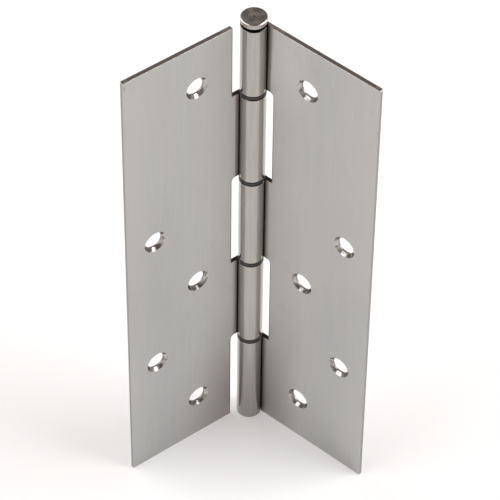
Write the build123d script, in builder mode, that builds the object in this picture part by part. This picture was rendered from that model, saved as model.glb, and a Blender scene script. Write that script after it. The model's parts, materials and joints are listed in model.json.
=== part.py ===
"""Continuous hinge: two sheet leaves with rolled knuckles on one headed pin, washers between the knuckles.

Millimetres, +Z up along the pin. The origin is on the pin's axis at the lower end. The fixed leaf runs
along +X with its countersunk front face towards -Y, and the moving leaf stands open from it.
"""
import math
import os

from build123d import *

# Leaves
open_width = 114.3
leaf_length = 220.0
sheet = 1.9
closed_gap = 4.8
outer_edge_radius = 0.8
opening_angle = 103.0

# Rolled knuckles, counted from the bottom
knuckle_count = 5
bottom_knuckle = 47.0
top_knuckle = 33.0
bore = 6.4
seam_gap = 0.9
joggle_radius = 2.5
notch_clearance = 2.8
notch_upper_radius = 2.0
notch_lower_radius = 0.6
broken_edge = 0.2

# Thrust washers
washer_thickness = 1.6
washer_play = 0.15
washer_chamfer = 0.35

# Pin
pin_clearance = 0.025
pin_end_chamfer = 0.4
shoulder_height = 1.5
shoulder_lip = 0.6
head_height = 2.1
head_chamfer = 0.3

# Screw holes
screw_hole = 7.4
countersink = 9.8
countersink_angle = 90.0
inner_column = 24.0
outer_column_inset = 13.15
lowest_hole = 22.5
hole_pitch = 35.25
top_hole_inset = 21.25

leaf_width = open_width / 2
barrel_radius = bore / 2 + sheet
pin_radius = bore / 2 - pin_clearance
leaf_front = closed_gap / 2
leaf_back = leaf_front + sheet
notch_edge = barrel_radius + notch_clearance
outer_column = leaf_width - outer_column_inset

knuckle_gap = washer_thickness + 2 * washer_play
knuckle_pitch = (leaf_length - bottom_knuckle - top_knuckle - knuckle_gap) / (knuckle_count - 2)
gap_floors = [bottom_knuckle + i * knuckle_pitch for i in range(knuckle_count - 1)]
knuckle_floors = [0.0] + [floor + knuckle_gap for floor in gap_floors]
knuckle_tops = gap_floors + [leaf_length]

screw_points = [
    (inner_column, lowest_hole),
    (outer_column, lowest_hole + hole_pitch),
    (inner_column, lowest_hole + 2 * hole_pitch),
    (outer_column, lowest_hole + 3 * hole_pitch),
    (inner_column, leaf_length - top_hole_inset),
]

os.makedirs("parts", exist_ok=True)


def notch_spans(first_knuckle):
    """Heights left free by every second knuckle, open past the leaf's own ends."""
    own = range(first_knuckle, knuckle_count, 2)
    floors = [-barrel_radius] + [knuckle_tops[i] for i in own]
    tops = [knuckle_floors[i] for i in own] + [leaf_length + barrel_radius]
    return [(low, high) for low, high in zip(floors, tops) if high > 0 and low < leaf_length]


def hinge_leaf(plan, hand, first_knuckle):
    """One leaf on its plan plane: +x from the pin to the outer edge, hand is the side its plate lies on."""
    elevation = Plane(origin=plan.origin, x_dir=plan.x_dir, z_dir=-plan.y_dir)
    front_foot = plan.from_local_coords((0, hand * leaf_front, 0))
    front = Plane(front_foot, x_dir=plan.x_dir, z_dir=plan.y_dir * -hand)
    along = Axis(plan.origin, plan.x_dir)
    through = Axis(plan.origin, plan.y_dir)

    with BuildPart() as leaf:
        # Section: the plate runs into the back of the roll, whose free end stops short of the plate's front
        with BuildSketch(plan) as section:
            Circle(barrel_radius)
            with Locations((leaf_width / 2, hand * (leaf_front + sheet / 2))):
                Rectangle(leaf_width, sheet)
            joggle = (math.sqrt(barrel_radius**2 - leaf_back**2), hand * leaf_back)
            fillet(section.vertices().sort_by_distance(joggle)[0], joggle_radius)
            Circle(bore / 2, mode=Mode.SUBTRACT)
            with Locations((barrel_radius, hand * (leaf_front - seam_gap / 2))):
                Rectangle(2 * (barrel_radius - bore / 4), seam_gap, mode=Mode.SUBTRACT)
        extrude(amount=leaf_length)

        # Notches that clear the other leaf's knuckles
        for low, high in notch_spans(first_knuckle):
            with BuildSketch(elevation) as notch:
                with Locations(((notch_edge - 2 * barrel_radius) / 2, (low + high) / 2)):
                    Rectangle(notch_edge + 2 * barrel_radius, high - low)
                lower_corner, upper_corner = notch.vertices().group_by(Axis.X)[-1].sort_by(Axis.Y)
                fillet(upper_corner, notch_upper_radius)
                fillet(lower_corner, notch_lower_radius)
            extrude(amount=2 * barrel_radius, both=True, mode=Mode.SUBTRACT)

        # Outer edge rounded off at the back, where blanking draws the sheet down
        uprights = leaf.edges().filter_by(Axis.Z).group_by(along)[-1]
        fillet(uprights.sort_by(through, reverse=hand < 0)[-1], outer_edge_radius)

        # Broken edges round the back face and the knuckles' rims
        plate_faces = leaf.faces().filter_by(GeomType.PLANE).filter_by(through)
        outline = plate_faces.sort_by(through, reverse=hand < 0)[-1].outer_wire().edges()
        rounded = outline.filter_by(Axis.Z).group_by(along)[-1]
        arcs = leaf.edges().filter_by(GeomType.CIRCLE)
        rims = arcs.filter_by(lambda arc: math.isclose(arc.radius, barrel_radius))
        chamfer(rims + (outline - rounded), broken_edge)

        with Locations(front):
            with Locations(*[(x, hand * z) for x, z in screw_points]):
                CounterSinkHole(screw_hole / 2, countersink / 2, counter_sink_angle=countersink_angle)
    return leaf


fixed_leaf = hinge_leaf(Plane.XY, 1, 0)
fixed_leaf.part.label = "fixed_leaf"
export_step(fixed_leaf.part, "parts/fixed_leaf.step")

moving_leaf = hinge_leaf(Plane.XY.rotated((0, 0, -opening_angle)), -1, 1)
moving_leaf.part.label = "moving_leaf"
export_step(moving_leaf.part, "parts/moving_leaf.step")

# Turned pin: shank flush with the bottom knuckle, shoulder on the top knuckle, flat chamfered head
with BuildPart() as hinge_pin:
    with BuildSketch(Plane.XZ):
        with BuildLine():
            shoulder_top = leaf_length + shoulder_height
            head_top = shoulder_top + head_height
            Polyline(
                (0, 0),
                (pin_radius - pin_end_chamfer, 0),
                (pin_radius, pin_end_chamfer),
                (pin_radius, leaf_length),
                (bore / 2 + shoulder_lip, leaf_length),
                (bore / 2 + shoulder_lip, shoulder_top),
                (barrel_radius, shoulder_top),
                (barrel_radius, head_top - head_chamfer),
                (barrel_radius - head_chamfer, head_top),
                (0, head_top),
                close=True,
            )
        make_face()
    revolve(axis=Axis.Z)
hinge_pin.part.label = "hinge_pin"
export_step(hinge_pin.part, "parts/hinge_pin.step")

for number, floor in enumerate(gap_floors, start=1):
    with BuildPart() as bearing_washer:
        with BuildSketch(Plane.XY.offset(floor + washer_play)):
            Circle(barrel_radius)
            Circle(bore / 2, mode=Mode.SUBTRACT)
        extrude(amount=washer_thickness)
        rims = bearing_washer.edges().filter_by(GeomType.CIRCLE).group_by(SortBy.RADIUS)[-1]
        chamfer(rims, washer_chamfer)
    bearing_washer.part.label = f"bearing_washer_{number}"
    export_step(bearing_washer.part, f"parts/bearing_washer_{number}.step")
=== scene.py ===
"""Studio scene for the continuous hinge: finishes, floor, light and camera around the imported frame."""
import json
import math

import bpy
from mathutils import Matrix, Vector


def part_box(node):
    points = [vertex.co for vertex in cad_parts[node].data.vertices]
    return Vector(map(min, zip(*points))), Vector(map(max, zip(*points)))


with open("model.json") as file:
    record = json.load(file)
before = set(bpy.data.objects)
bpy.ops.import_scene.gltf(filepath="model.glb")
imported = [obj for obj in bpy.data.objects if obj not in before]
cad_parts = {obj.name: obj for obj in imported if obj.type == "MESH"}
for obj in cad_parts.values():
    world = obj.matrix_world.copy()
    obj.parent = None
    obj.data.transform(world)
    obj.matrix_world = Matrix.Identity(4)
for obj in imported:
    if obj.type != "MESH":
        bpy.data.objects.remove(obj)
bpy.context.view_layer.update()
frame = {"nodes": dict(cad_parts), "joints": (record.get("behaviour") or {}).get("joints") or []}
nodes = frame["nodes"]

# The hinge's own sizes, in metres; the leaves' fronts and edges are measured from the pin's axis
MM = 0.001
LEAF_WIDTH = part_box("fixed_leaf")[1][0]
LEAF_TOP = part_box("fixed_leaf")[1][2]
LEAF_FRONT = 2.4 * MM
TOP_KNUCKLE = 33.0 * MM
BARREL_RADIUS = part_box("bearing_washer_1")[1][0]
HEAD_HEIGHT = 2.1 * MM
HEAD_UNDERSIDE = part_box("hinge_pin")[1][2] - HEAD_HEIGHT
OPENING = math.radians(frame["joints"][0]["range_deg"][1])

# Camera, from fitting the hinge's corners, knuckle rings and screw holes to the photograph
CAMERA_AZIMUTH = 39.65
CAMERA_ELEVATION = 47.57
CAMERA_ROLL = 0.77
CAMERA_DISTANCE = 1.223
CAMERA_TARGET = Vector((-0.0002, -0.0003, 0.0976))
PHOTO_PIXELS = 500
FOCAL_PIXELS = 3107.7
SENSOR_WIDTH = 36.0

# Floor and lamps, in metres and degrees; the glow keeps the floor white to the camera
FLOOR_REACH = 4.0
FLOOR_GLOW = 0.3
LAMP_ELEVATION = 32.0
LAMP_DISTANCE = 1.5
LAMP_UPRIGHT_SIDE = 1.2

# The Mix node's sockets for each kind of value: first input, second input and result
MIX_SOCKETS = {"FLOAT": (2, 3, 0), "VECTOR": (4, 5, 1), "RGBA": (6, 7, 2)}


def rgb(r, g, b):
    """An opaque colour."""
    return (r, g, b, 1.0)


# Near-black painted shade for the seam's crease, the knuckle rims and the inside of the roll
PAINTED_SHADE = rgb(0.05, 0.045, 0.04)


class Graph:
    """A material's node tree with short calls for adding and joining nodes."""

    def __init__(self, name):
        self.material = bpy.data.materials.new(name)
        self.material.use_nodes = True
        self.tree = self.material.node_tree
        self.shader = self.tree.nodes["Principled BSDF"]
        self.output = self.tree.nodes["Material Output"]

    def set(self, node, inputs):
        """Links sockets to a node's inputs, and sets the inputs that are given as plain values."""
        for key, value in inputs.items():
            socket = node.inputs[key]
            if isinstance(value, bpy.types.NodeSocket):
                self.tree.links.new(value, socket)
            else:
                socket.default_value = value

    def add(self, kind, inputs=None, **settings):
        """A new node with its inputs and settings."""
        node = self.tree.nodes.new("ShaderNode" + kind)
        for key, value in settings.items():
            setattr(node, key, value)
        self.set(node, inputs or {})
        return node

    def math(self, operation, *values):
        return self.add("Math", dict(enumerate(values)), operation=operation).outputs[0]

    def vector(self, operation, *values):
        return self.add("VectorMath", dict(enumerate(values)), operation=operation)

    def product(self, first, *others):
        for value in others:
            first = self.math("MULTIPLY", first, value)
        return first

    def largest(self, first, *others):
        for value in others:
            first = self.math("MAXIMUM", first, value)
        return first

    def dot(self, a, b):
        return self.vector("DOT_PRODUCT", a, b).outputs["Value"]

    def upward(self, vector):
        """The vector's part along the pin."""
        return self.add("SeparateXYZ", {0: vector}).outputs["Z"]

    def from_axis(self, place):
        """Distance from the pin's axis."""
        flat_place = self.vector("MULTIPLY", place, (1.0, 1.0, 0.0)).outputs[0]
        return self.vector("LENGTH", flat_place).outputs["Value"]

    def band(self, value, low, high):
        """0 below low, 1 above high."""
        limits = {"Value": value, "From Min": low, "From Max": high}
        return self.add("MapRange", limits, interpolation_type="SMOOTHSTEP").outputs["Result"]

    def fade(self, value, low, high):
        """1 below low, 0 above high."""
        return self.math("SUBTRACT", 1.0, self.band(value, low, high))

    def noise(self, place, scale, detail=2.0):
        """Noise from 0 to 1; scale is the number of its features in a metre along each axis."""
        stretched = self.vector("MULTIPLY", place, scale).outputs[0]
        return self.add("TexNoise", {"Vector": stretched, "Scale": 1.0, "Detail": detail}).outputs["Fac"]

    def mix(self, kind, factor, a, b):
        """a where the factor is 0, b where it is 1."""
        first, second, result = MIX_SOCKETS[kind]
        node = self.add("Mix", data_type=kind)
        self.set(node, {0: factor, first: a, second: b})
        return node.outputs[result]

    def lerp(self, factor, a, b):
        return self.mix("FLOAT", factor, a, b)

    def coat(self, colour, *coats):
        """The colour under coats of (mask, strength, colour), the last one outermost."""
        for mask, strength, tone in coats:
            colour = self.mix("RGBA", self.product(mask, strength), colour, tone)
        return colour

    def cover(self, colour, *covers):
        """The colour under full covers of (mask, colour), the last one outermost."""
        for mask, tone in covers:
            colour = self.mix("RGBA", mask, colour, tone)
        return colour


class LeafSurface:
    """Where a shaded point lies on a leaf: distances in metres, and masks from 0 to 1.

    front is the normal of the countersunk face, and outward runs from the pin to the outer edge.
    """

    def __init__(self, g, front, outward):
        coords = g.add("TexCoord")
        self.place = coords.outputs["Object"]
        self.height = g.upward(self.place)
        self.below_top = g.math("SUBTRACT", LEAF_TOP, self.height)
        self.from_pin = g.from_axis(self.place)
        self.past_barrel = g.math("SUBTRACT", self.from_pin, BARREL_RADIUS)
        self.from_edge = g.math("SUBTRACT", LEAF_WIDTH, self.from_pin)
        self.above_front = g.math("ADD", g.dot(self.place, front), LEAF_FRONT)
        self.along = g.dot(self.place, outward)

        normal = coords.outputs["Normal"]
        facing = g.dot(normal, front)
        self.tilt = g.math("ABSOLUTE", g.upward(normal))
        self.front_face = g.band(facing, 0.9, 0.97)
        self.side_face = g.fade(g.math("ABSOLUTE", facing), 0.2, 0.3)
        self.end_face = g.band(self.tilt, 0.9, 0.97)

        # Plate and barrel, the plate's front beside the seam, and the notches' margin, which takes painted
        # shade
        self.plate = g.band(self.past_barrel, 0.03 * MM, 0.15 * MM)
        self.root = g.product(self.plate, self.front_face)
        self.near_pin = g.fade(self.past_barrel, 3.4 * MM, 4.9 * MM)
        self.shaded_notch = g.product(self.near_pin, g.band(self.below_top, 0.5 * MM, 1.0 * MM))

        # The part of the plate that has the screw holes, and their countersinks
        past_root = g.band(self.from_pin, 12.0 * MM, 13.0 * MM)
        self.drilled = g.product(past_root, g.band(self.from_edge, 2.15 * MM, 3.15 * MM))
        self.countersink = g.product(g.band(facing, 0.4, 0.5), g.fade(facing, 0.85, 0.95), self.drilled)

        # Normals of the true surface and over worn edges, and the painted highlight along the front's
        # upper edges
        self.plain_normal = g.add("NewGeometry").outputs["Normal"]
        self.worn_normal = g.add("Bevel", {"Radius": 0.3 * MM}, samples=6).outputs[0]
        inside_margin = g.band(self.from_edge, 1.15 * MM, 3.15 * MM)
        self.edge_highlight = g.product(g.band(g.upward(self.worn_normal), 0.3, 0.6), self.front_face, inside_margin)

        # Brushing along the pin
        fine = g.noise(self.place, (2600.0, 2600.0, 75.0))
        streaks = g.noise(self.place, (1000.0, 1000.0, 30.0), detail=3.0)
        self.grain = g.lerp(0.45, fine, streaks)
        self.bright_grain = g.band(self.grain, 0.32, 0.68)


def plate_colour(g, leaf, top_shine):
    """Brushed sheet, with painted light near the pin and at the upper inner corner, painted shade low down
    on the outer side, and nicks at its upper outer corner.
    """
    clouds = g.noise(leaf.place, (45.0, 45.0, 22.0), detail=3.0)
    warm_bands = g.noise(leaf.place, (110.0, 110.0, 9.0))
    smudges = g.noise(leaf.place, (170.0, 170.0, 120.0), detail=3.0)
    nicks = g.noise(leaf.place, (620.0, 620.0, 330.0), detail=1.0)
    # Painted light on the inner side and at the upper inner corner, and painted shade low down on the
    # outer side
    lit_inner_side = g.fade(leaf.from_pin, 12.0 * MM, 46.0 * MM)
    lit_inner_corner = g.fade(leaf.from_pin, 8.0 * MM, 26.0 * MM)
    lit_inner_corner = g.product(lit_inner_corner, g.fade(leaf.below_top, 12.0 * MM, 48.0 * MM))
    shaded_lower_side = g.band(leaf.from_pin, 24.0 * MM, 46.0 * MM)
    shaded_lower_side = g.product(shaded_lower_side, g.fade(leaf.height, 90.0 * MM, 200.0 * MM))
    upper_margin = g.band(leaf.from_pin, 44.0 * MM, 52.0 * MM)
    upper_margin = g.product(upper_margin, g.band(leaf.height, 80.0 * MM, 140.0 * MM))
    inner_margin = g.fade(leaf.from_pin, 10.0 * MM, 26.0 * MM)
    warmth = g.largest(inner_margin, upper_margin, g.band(warm_bands, 0.48, 0.66))
    outer_corner = g.fade(leaf.from_edge, 2.65 * MM, 4.15 * MM)
    outer_corner = g.product(outer_corner, g.fade(leaf.below_top, 15.0 * MM, 35.0 * MM))
    nicked = g.product(g.band(nicks, 0.66, 0.72), outer_corner)
    brushed = g.mix("RGBA", leaf.bright_grain, rgb(0.512, 0.515, 0.506), rgb(0.567, 0.57, 0.561))
    return g.coat(
        brushed,
        (lit_inner_side, 0.32, rgb(0.70, 0.69, 0.68)),
        (lit_inner_corner, top_shine, rgb(0.86, 0.845, 0.825)),
        (shaded_lower_side, 0.5, rgb(0.465, 0.458, 0.452)),
        (g.band(clouds, 0.4, 0.7), 0.4, rgb(0.55, 0.542, 0.53)),
        (warmth, 0.5, rgb(0.56, 0.538, 0.515)),
        (g.band(smudges, 0.6, 0.75), 0.2, rgb(0.46, 0.44, 0.42)),
        (nicked, 0.6, rgb(0.30, 0.28, 0.26)),
    )


def barrel_colour(g, leaf):
    """Rolled knuckle: darker than the sheet, with brown painted shade on the side of its seam."""
    # Brown painted shade on the barrel beside the seam
    barrel_seam_shade = g.fade(leaf.above_front, LEAF_FRONT - 0.3 * MM, LEAF_FRONT + 1.8 * MM)
    barrel_seam_shade = g.product(barrel_seam_shade, g.band(leaf.along, 2.0 * MM, 3.0 * MM))
    rolled = g.mix("RGBA", leaf.bright_grain, rgb(0.38, 0.36, 0.337), rgb(0.43, 0.41, 0.387))
    return g.coat(rolled, (barrel_seam_shade, 0.6, rgb(0.19, 0.165, 0.15)))


def paint_seam_shade(g, leaf, colour, foot_shade_reach):
    """Painted shade: darker and pinkish at the foot near the pin, and along the plate's seam a brown band
    of painted shade and reflection and a black painted crease.
    """
    # Painted shade, darker and pinkish, at the foot near the pin
    foot_shade = g.fade(leaf.height, 2.0 * MM, 60.0 * MM)
    foot_shade = g.product(foot_shade, g.fade(leaf.from_pin, 8.0 * MM, foot_shade_reach))
    # Brown painted shade and reflection beside the seam, then a black painted crease in it
    upper_half = g.band(leaf.height, 120.0 * MM, 150.0 * MM)
    top_end = g.fade(leaf.below_top, 0.0, TOP_KNUCKLE)
    plate_seam_shade_start = g.lerp(upper_half, 0.5 * MM, 1.4 * MM)
    plate_seam_shade_end = g.lerp(top_end, g.lerp(upper_half, 2.7 * MM, 1.9 * MM), 3.1 * MM)
    plate_seam_shade = g.product(leaf.root, g.fade(leaf.past_barrel, plate_seam_shade_start, plate_seam_shade_end))
    crease_shade_end = g.lerp(top_end, g.lerp(upper_half, 0.8 * MM, 0.5 * MM), 1.7 * MM)
    crease_shade = g.product(leaf.root, g.fade(leaf.past_barrel, 0.2 * MM, crease_shade_end))
    return g.coat(
        colour,
        (foot_shade, g.lerp(leaf.plate, 0.2, 0.65), rgb(0.34, 0.29, 0.28)),
        (plate_seam_shade, 0.7, rgb(0.21, 0.165, 0.13)),
        (crease_shade, 0.9, PAINTED_SHADE),
    )


def cut_edges(g, leaf, colour):
    """Sheared ends with a burnished stripe, near-black painted shade on the notches, the knuckle rims and
    inside the roll, the outer edge, and the screw holes with painted reflection patches in their
    countersinks.
    """
    stripe = g.band(leaf.above_front, -1.6 * MM, -1.3 * MM)
    stripe = g.product(stripe, g.fade(leaf.above_front, -0.7 * MM, -0.4 * MM))
    sheared = g.mix("RGBA", stripe, rgb(0.37, 0.352, 0.33), rgb(0.48, 0.46, 0.43))
    # The notches' cut ends are painted black as shade under the barrel
    sheared = g.cover(sheared, (leaf.shaded_notch, rgb(0.04, 0.036, 0.034)))
    barrel_end = g.fade(leaf.past_barrel, 0.1 * MM, 0.5 * MM)
    # Knuckle rims and the inside of the roll get near-black painted shade
    rim_shade = g.product(g.band(leaf.tilt, 0.3, 0.4), g.largest(leaf.shaded_notch, barrel_end))
    roll_inside_shade = g.fade(leaf.past_barrel, -0.35 * MM, -0.1 * MM)
    outer_edge = g.product(leaf.side_face, g.fade(leaf.from_edge, 1.15 * MM, 2.15 * MM))
    punched = g.product(leaf.side_face, leaf.drilled)
    # Dark and light patches painted on the countersinks stand in for reflected streaks
    reflection_patches = g.band(g.noise(leaf.place, (480.0, 480.0, 480.0), detail=1.0), 0.4, 0.58)
    streaked_countersink = g.mix("RGBA", reflection_patches, rgb(0.23, 0.215, 0.204), rgb(0.46, 0.44, 0.422))
    return g.cover(
        colour,
        (leaf.end_face, sheared),
        (g.largest(rim_shade, roll_inside_shade), PAINTED_SHADE),
        (outer_edge, rgb(0.36, 0.345, 0.33)),
        (punched, rgb(0.30, 0.28, 0.27)),
        (leaf.countersink, streaked_countersink),
    )


def paint_edge_light(g, leaf, colour):
    """A painted highlight along upper edges, and a painted dark reflection along the notches' upright
    edges.
    """
    drawn_normal = g.add("Bevel", {"Radius": 1.0 * MM}, samples=6).outputs[0]
    bent = g.fade(g.dot(drawn_normal, leaf.plain_normal), 0.95, 0.998)
    upright = g.fade(g.math("ABSOLUTE", g.upward(drawn_normal)), 0.2, 0.4)
    dark_edge_reflection = g.product(bent, upright, leaf.root, leaf.near_pin)
    return g.cover(colour, (leaf.edge_highlight, rgb(0.9, 0.89, 0.88)), (dark_edge_reflection, rgb(0.22, 0.21, 0.20)))


def leaf_roughness(g, leaf):
    """Satin on the plate, smoother on the barrel, cut ends, countersinks and the painted edge highlight.
    """
    rough = g.lerp(g.band(leaf.grain, 0.3, 0.7), 0.40, 0.45)
    rough = g.lerp(leaf.plate, 0.16, rough)
    for mask, value in ((leaf.end_face, 0.28), (leaf.countersink, 0.15), (leaf.edge_highlight, 0.2)):
        rough = g.lerp(mask, rough, value)
    return rough


def brushed_leaf(name, front, outward, foot_shade_reach, top_shine):
    """Sheet steel brushed along the pin.

    front and outward are as in LeafSurface. The reach argument is where the painted shade at the foot of
    the knuckles fades out, measured from the pin, and the top light argument is how strongly painted light
    brightens the upper inner corner, from 0 to 1.
    """
    g = Graph(name)
    leaf = LeafSurface(g, front, outward)
    colour = g.mix("RGBA", leaf.plate, barrel_colour(g, leaf), plate_colour(g, leaf, top_shine))
    colour = paint_seam_shade(g, leaf, colour, foot_shade_reach)
    colour = cut_edges(g, leaf, colour)
    colour = paint_edge_light(g, leaf, colour)
    softened = g.mix("VECTOR", leaf.front_face, leaf.plain_normal, leaf.worn_normal)
    bump = g.add("Bump", {
        "Strength": 0.12,
        "Distance": 0.03 * MM,
        "Height": leaf.grain,
        "Normal": softened,
    })
    along_pin = g.add("CombineXYZ", {"Z": 1.0})
    g.set(g.shader, {
        "Base Color": colour,
        "Metallic": 1.0,
        "Roughness": leaf_roughness(g, leaf),
        "Anisotropic": 0.85,
        "Anisotropic Rotation": 0.25,
        "Tangent": along_pin.outputs[0],
        "Normal": bump.outputs[0],
    })
    return g.material


def turned_pin(name):
    """Turned steel: concentric tool marks, a blotched face painted darker as shade, and near-black painted
    shade below the head.
    """
    g = Graph(name)
    coords = g.add("TexCoord")
    place = coords.outputs["Object"]
    radius = g.from_axis(place)
    height = g.upward(place)
    profile = g.add("CombineXYZ", {"X": radius, "Z": height}).outputs[0]
    rings = g.noise(profile, (1700.0, 1.0, 1700.0), detail=3.0)
    blotches = g.noise(place, (330.0, 330.0, 330.0), detail=3.0)
    face = g.band(g.upward(coords.outputs["Normal"]), 0.9, 0.97)
    centre = g.fade(radius, 0.3 * MM, 0.6 * MM)
    # Painted shade: near-black just below the head
    under_head_shade = g.fade(g.math("SUBTRACT", height, HEAD_UNDERSIDE), -0.02 * MM, 0.1 * MM)
    turned = g.mix("RGBA", g.band(rings, 0.35, 0.65), rgb(0.38, 0.355, 0.34), rgb(0.46, 0.43, 0.41))
    # The head's face is blotched and painted darker as shade
    shaded_face = g.mix("RGBA", g.band(blotches, 0.38, 0.62), rgb(0.217, 0.203, 0.187), rgb(0.38, 0.355, 0.33))
    shaded_face = g.coat(shaded_face, (g.band(rings, 0.45, 0.55), 0.7, rgb(0.162, 0.149, 0.137)))
    shaded_face = g.cover(shaded_face, (centre, rgb(0.11, 0.102, 0.094)))
    bump = g.add("Bump", {"Strength": 0.25, "Distance": 0.04 * MM, "Height": rings})
    g.set(g.shader, {
        "Base Color": g.cover(turned, (face, shaded_face), (under_head_shade, rgb(0.07, 0.065, 0.06))),
        "Metallic": 1.0,
        "Roughness": g.lerp(face, 0.30, 0.5),
        "Normal": bump.outputs[0],
    })
    return g.material


def moulded_washer(name):
    """Dark moulded plastic with a faint satin mottle, and near-black painted shade on its chamfers and
    faces.
    """
    g = Graph(name)
    coords = g.add("TexCoord")
    mottle = g.noise(coords.outputs["Object"], (900.0, 900.0, 900.0), detail=3.0)
    tilt = g.math("ABSOLUTE", g.upward(coords.outputs["Normal"]))
    moulded = g.mix("RGBA", g.band(mottle, 0.35, 0.65), rgb(0.028, 0.028, 0.033), rgb(0.042, 0.042, 0.049))
    bump = g.add("Bump", {"Strength": 0.15, "Distance": 0.03 * MM, "Height": mottle})
    g.set(g.shader, {
        # Chamfers and faces are painted near-black as shade
        "Base Color": g.cover(moulded, (g.band(tilt, 0.2, 0.5), rgb(0.008, 0.008, 0.01))),
        "Roughness": g.lerp(mottle, 0.38, 0.52),
        "Normal": bump.outputs[0],
    })
    return g.material


def finish(node, material):
    """Gives every slot of a CAD node the same material."""
    for slot in nodes[node].material_slots:
        slot.material = material


def finish_hinge():
    """Gives each piece of the hinge its material."""
    finish("fixed_leaf", brushed_leaf(
        "fixed_leaf_steel",
        front=(0.0, -1.0, 0.0),
        outward=(1.0, 0.0, 0.0),
        foot_shade_reach=28.0 * MM,
        top_shine=0.7,
    ))
    finish("moving_leaf", brushed_leaf(
        "moving_leaf_steel",
        front=(math.sin(OPENING), math.cos(OPENING), 0.0),
        outward=(math.cos(OPENING), -math.sin(OPENING), 0.0),
        foot_shade_reach=42.0 * MM,
        top_shine=0.0,
    ))
    finish("hinge_pin", turned_pin("pin_steel"))
    washer = moulded_washer("washer_plastic")
    for node in nodes:
        if node.startswith("bearing_washer"):
            finish(node, washer)


def place_in_scene(name, data):
    """A new object in the scene, at the origin."""
    thing = bpy.data.objects.new(name, data)
    bpy.context.scene.collection.objects.link(thing)
    return thing


def pale_floor():
    """White floor that stays white to the camera and in reflections, and takes the hinge's shadow."""
    mesh = bpy.data.meshes.new("floor")
    corners = [(-1, -1), (1, -1), (1, 1), (-1, 1)]
    mesh.from_pydata([(x * FLOOR_REACH, y * FLOOR_REACH, 0) for x, y in corners], [], [(0, 1, 2, 3)])
    floor = place_in_scene("floor", mesh)
    g = Graph("floor_white")
    path = g.add("LightPath").outputs
    seen = g.largest(path["Is Camera Ray"], path["Is Glossy Ray"], path["Is Transmission Ray"])
    paper = g.add("BsdfDiffuse", {"Color": rgb(0.7, 0.7, 0.7)})
    glow = g.add("Emission", {"Color": rgb(1.0, 1.0, 1.0), "Strength": g.product(seen, FLOOR_GLOW)})
    both = g.add("AddShader", {0: paper.outputs[0], 1: glow.outputs[0]})
    g.set(g.output, {"Surface": both.outputs[0]})
    mesh.materials.append(g.material)


def studio_world():
    """Pale round the horizon, dim overhead, like a room with a low ceiling of unlit panels."""
    world = bpy.data.worlds.new("studio")
    bpy.context.scene.world = world
    world.use_nodes = True
    tree = world.node_tree
    direction = tree.nodes.new("ShaderNodeTexCoord")
    split = tree.nodes.new("ShaderNodeSeparateXYZ")
    ramp = tree.nodes.new("ShaderNodeValToRGB")
    tree.links.new(direction.outputs["Generated"], split.inputs[0])
    tree.links.new(split.outputs["Z"], ramp.inputs["Fac"])
    tree.links.new(ramp.outputs["Color"], tree.nodes["Background"].inputs["Color"])
    horizon, ceiling = ramp.color_ramp.elements
    horizon.position = 0.05
    horizon.color = rgb(0.9, 0.9, 0.9)
    ceiling.position = 0.5
    ceiling.color = rgb(0.31, 0.265, 0.245)


def back_vector(azimuth, elevation):
    """Unit vector from the hinge towards a viewer or lamp; azimuth 0 looks along +Y."""
    a = math.radians(azimuth)
    e = math.radians(elevation)
    return Vector((math.sin(a) * math.cos(e), -math.cos(a) * math.cos(e), math.sin(e)))


def softbox(name, side, width, watts):
    """An area lamp aimed at the hinge's middle; side is its azimuth from the camera's."""
    lamp = bpy.data.lights.new(name, "AREA")
    lamp.shape = "RECTANGLE"
    lamp.size = width
    lamp.size_y = LAMP_UPRIGHT_SIDE
    lamp.energy = watts
    holder = place_in_scene(name, lamp)
    back = back_vector(CAMERA_AZIMUTH + side, LAMP_ELEVATION)
    holder.location = CAMERA_TARGET + back * LAMP_DISTANCE
    holder.rotation_euler = (-back).to_track_quat("-Z", "Y").to_euler()


def photo_camera():
    """The camera at the photograph's viewing angle, with no shift and no depth of field."""
    lens = bpy.data.cameras.new("photo_camera")
    lens.sensor_width = SENSOR_WIDTH
    lens.lens = FOCAL_PIXELS * SENSOR_WIDTH / PHOTO_PIXELS
    camera = place_in_scene("photo_camera", lens)
    back = back_vector(CAMERA_AZIMUTH, CAMERA_ELEVATION)
    roll = Matrix.Rotation(math.radians(CAMERA_ROLL), 3, "Z")
    turn = (-back).to_track_quat("-Z", "Y").to_matrix() @ roll
    camera.matrix_world = Matrix.Translation(CAMERA_TARGET + back * CAMERA_DISTANCE) @ turn.to_4x4()
    bpy.context.scene.camera = camera


finish_hinge()
pale_floor()
studio_world()
softbox("left", side=-88.0, width=2.6, watts=23.0)
softbox("right", side=85.0, width=1.2, watts=21.5)
photo_camera()
bpy.context.scene.view_settings.view_transform = "Standard"
